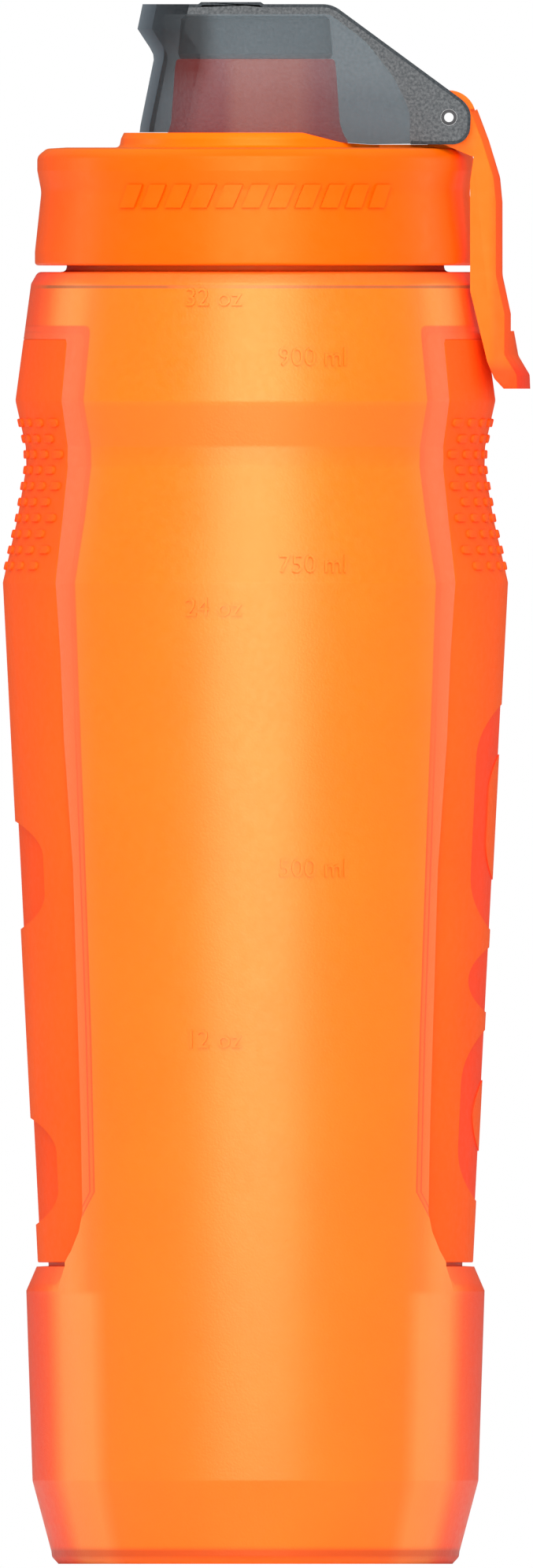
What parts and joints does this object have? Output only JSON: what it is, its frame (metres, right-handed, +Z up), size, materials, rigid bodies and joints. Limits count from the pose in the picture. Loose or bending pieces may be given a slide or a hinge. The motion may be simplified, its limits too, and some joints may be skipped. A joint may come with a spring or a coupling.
{
  "type": "squeeze bottle",
  "caption": "Translucent orange squeeze bottle with rubber side grips, a screw cap, a drinking nozzle under a smoke-grey flip cover and a hinged carry loop.",
  "frame": {"origin": "centre of the standing face, on the bottle's axis", "axes": "+Z up along the bottle's axis; +X towards the cover's hinge and the carry loop, -X towards the side that the cover opens from; the flat sides of the cover face -Y and +Y"},
  "size_m": [0.0894, 0.0856, 0.2648],
  "materials": {
    "bottle_plastic": "frosted translucent",
    "grip_rubber": "matt",
    "cap_plastic": "satin",
    "nozzle_rubber": "satin",
    "seal_rubber": "matt",
    "clear_silicone": "satin",
    "white_plastic": "satin",
    "cover_plastic": "translucent smoke grey, fine grain",
    "pin_plastic": "satin"
  },
  "bodies": {
    "bottle": {"bottle_body": "bottle_plastic", "front_grip_panel": "grip_rubber", "rear_grip_panel": "grip_rubber"},
    "gasket": {"neck_gasket": "clear_silicone"},
    "cap": {"screw_cap": "cap_plastic", "spout_nozzle": "nozzle_rubber", "slit_valve": "clear_silicone", "valve_retainer": "white_plastic", "hinge_pin": "pin_plastic"},
    "cover": {"flip_cover": "cover_plastic", "cover_seal": "seal_rubber"},
    "loop": {"carry_loop": "cap_plastic"}
  },
  "joints": [
    {"name": "cap_lift", "type": "slide", "parent": "bottle", "child": "gasket", "axis": [0, 0, 1], "range_m": [0, 0.01801]},
    {"name": "cap_turn", "type": "hinge", "parent": "gasket", "child": "cap", "pos_m": [0, 0, 0.2286], "axis": [0, 0, 1], "range_deg": [0, 540]},
    {"name": "cover_hinge", "type": "hinge", "parent": "cap", "child": "cover", "pos_m": [0.0328, 0, 0.2452], "axis": [0, 1, 0], "range_deg": [0, 110]},
    {"name": "loop_hinge", "type": "hinge", "parent": "cap", "child": "loop", "pos_m": [0.0328, 0, 0.2452], "axis": [0, -1, 0], "range_deg": [0, 50]}
  ],
  "couplings": [
    {"joint": "cap_lift", "follows": "cap_turn", "m_per_rad": 0.0019099}
  ]
}
